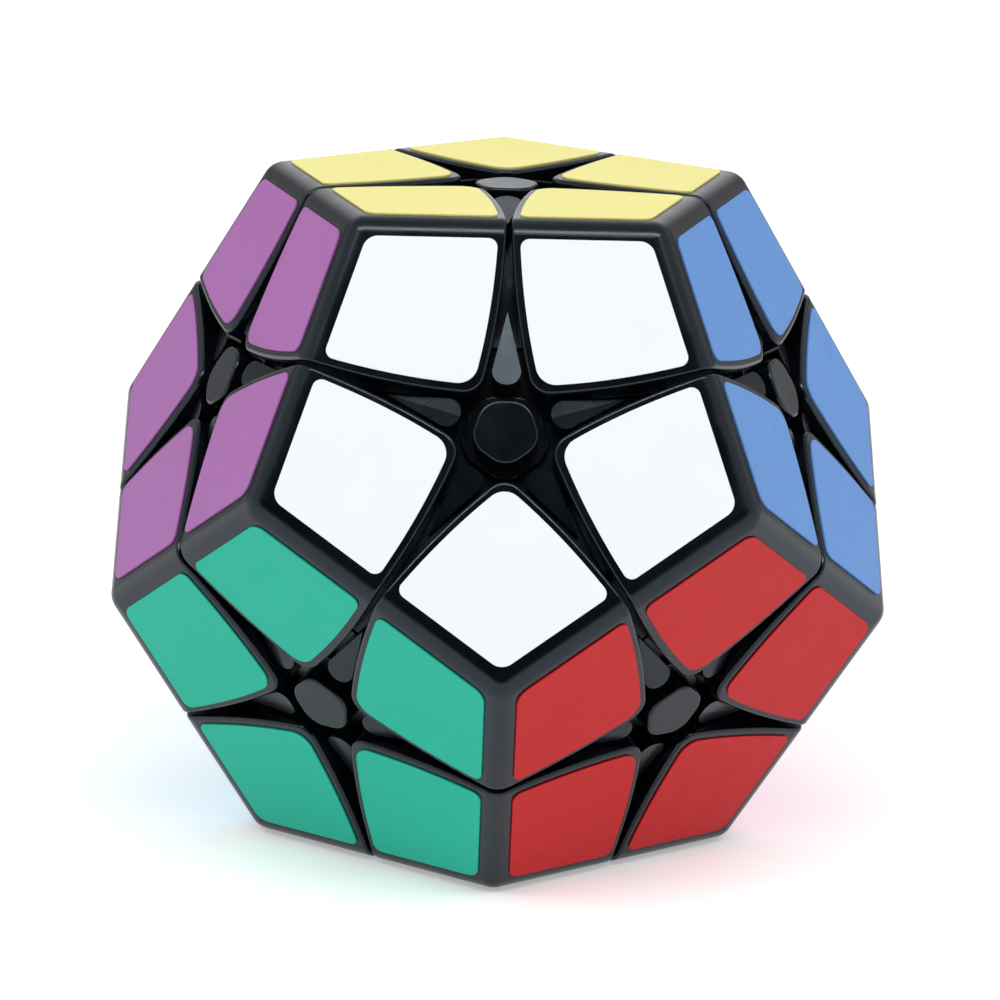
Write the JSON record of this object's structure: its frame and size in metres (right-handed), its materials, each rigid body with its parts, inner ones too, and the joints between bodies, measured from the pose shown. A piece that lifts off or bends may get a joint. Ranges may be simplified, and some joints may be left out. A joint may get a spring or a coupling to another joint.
{
  "type": "dodecahedron twisty puzzle",
  "caption": "Twelve-sided hand puzzle of black corner pieces with coloured kite stickers, which turns in layers about the face axes.",
  "frame": {"origin": "centre of the puzzle, where all the turning axes meet", "axes": "+Z out of the yellow face, so the puzzle rests on the opposite cream face; -Y towards the white face's side"},
  "size_m": [0.0872, 0.0914, 0.0754],
  "materials": {
    "black_plastic": "satin moulded black plastic",
    "cap_plastic": "satin moulded black plastic",
    "inner_plastic": "satin moulded black plastic",
    "core_plastic": "moulded black plastic",
    "steel": "bright zinc-plated steel",
    "yellow_sticker": "semi-gloss vinyl sticker",
    "white_sticker": "semi-gloss vinyl sticker",
    "blue_sticker": "semi-gloss vinyl sticker",
    "light_green_sticker": "semi-gloss vinyl sticker",
    "orange_sticker": "semi-gloss vinyl sticker",
    "purple_sticker": "semi-gloss vinyl sticker",
    "red_sticker": "semi-gloss vinyl sticker",
    "pink_sticker": "semi-gloss vinyl sticker",
    "grey_sticker": "semi-gloss vinyl sticker",
    "light_blue_sticker": "semi-gloss vinyl sticker",
    "green_sticker": "semi-gloss vinyl sticker",
    "cream_sticker": "semi-gloss vinyl sticker"
  },
  "bodies": {
    "still_part": {"blue_stickers_still_part": "blue_sticker", "caps_still_part": "cap_plastic", "centres_still_part": "inner_plastic", "core": "core_plastic", "corners_still_part": "black_plastic", "cream_stickers_still_part": "cream_sticker", "edges_still_part": "inner_plastic", "green_stickers_still_part": "green_sticker", "light_blue_stickers_still_part": "light_blue_sticker", "light_green_stickers_still_part": "light_green_sticker", "orange_stickers_still_part": "orange_sticker", "pink_stickers_still_part": "pink_sticker", "purple_stickers_still_part": "purple_sticker", "screws": "steel", "springs": "steel", "washers": "steel", "white_stickers_still_part": "white_sticker"},
    "yellow_layer": {"blue_stickers_yellow_layer": "blue_sticker", "caps_yellow_layer": "cap_plastic", "centres_yellow_layer": "inner_plastic", "corner_yellow_blue_light_green": "black_plastic", "corner_yellow_light_green_orange": "black_plastic", "corner_yellow_orange_purple": "black_plastic", "corner_yellow_white_blue": "black_plastic", "corner_yellow_white_purple": "black_plastic", "edges_yellow_layer": "inner_plastic", "light_green_stickers_yellow_layer": "light_green_sticker", "orange_stickers_yellow_layer": "orange_sticker", "purple_stickers_yellow_layer": "purple_sticker", "white_stickers_yellow_layer": "white_sticker", "yellow_stickers_yellow_layer": "yellow_sticker"},
    "red_layer": {"blue_stickers_red_layer": "blue_sticker", "caps_red_layer": "cap_plastic", "centres_red_layer": "inner_plastic", "corner_blue_red_pink": "black_plastic", "corner_red_green_cream": "black_plastic", "corner_red_pink_cream": "black_plastic", "corner_white_blue_red": "black_plastic", "corner_white_red_green": "black_plastic", "cream_stickers_red_layer": "cream_sticker", "edges_red_layer": "inner_plastic", "green_stickers_red_layer": "green_sticker", "pink_stickers_red_layer": "pink_sticker", "red_stickers_red_layer": "red_sticker", "white_stickers_red_layer": "white_sticker"},
    "grey_layer": {"caps_grey_layer": "cap_plastic", "centres_grey_layer": "inner_plastic", "corner_grey_light_blue_cream": "black_plastic", "corner_light_green_orange_grey": "black_plastic", "corner_light_green_pink_grey": "black_plastic", "corner_orange_grey_light_blue": "black_plastic", "corner_pink_grey_cream": "black_plastic", "cream_stickers_grey_layer": "cream_sticker", "edges_grey_layer": "inner_plastic", "grey_stickers_grey_layer": "grey_sticker", "light_blue_stickers_grey_layer": "light_blue_sticker", "light_green_stickers_grey_layer": "light_green_sticker", "orange_stickers_grey_layer": "orange_sticker", "pink_stickers_grey_layer": "pink_sticker"}
  },
  "joints": [
    {"name": "yellow_face_turn", "type": "hinge", "parent": "still_part", "child": "yellow_layer", "pos_m": [0, 0, 0], "axis": [0, 0, 1], "continuous": true},
    {"name": "red_face_turn", "type": "hinge", "parent": "still_part", "child": "red_layer", "pos_m": [0, 0, 0], "axis": [0.5257, -0.7236, -0.4472], "continuous": true},
    {"name": "grey_face_turn", "type": "hinge", "parent": "still_part", "child": "grey_layer", "pos_m": [0, 0, 0], "axis": [0, 0.8944, -0.4472], "continuous": true}
  ]
}
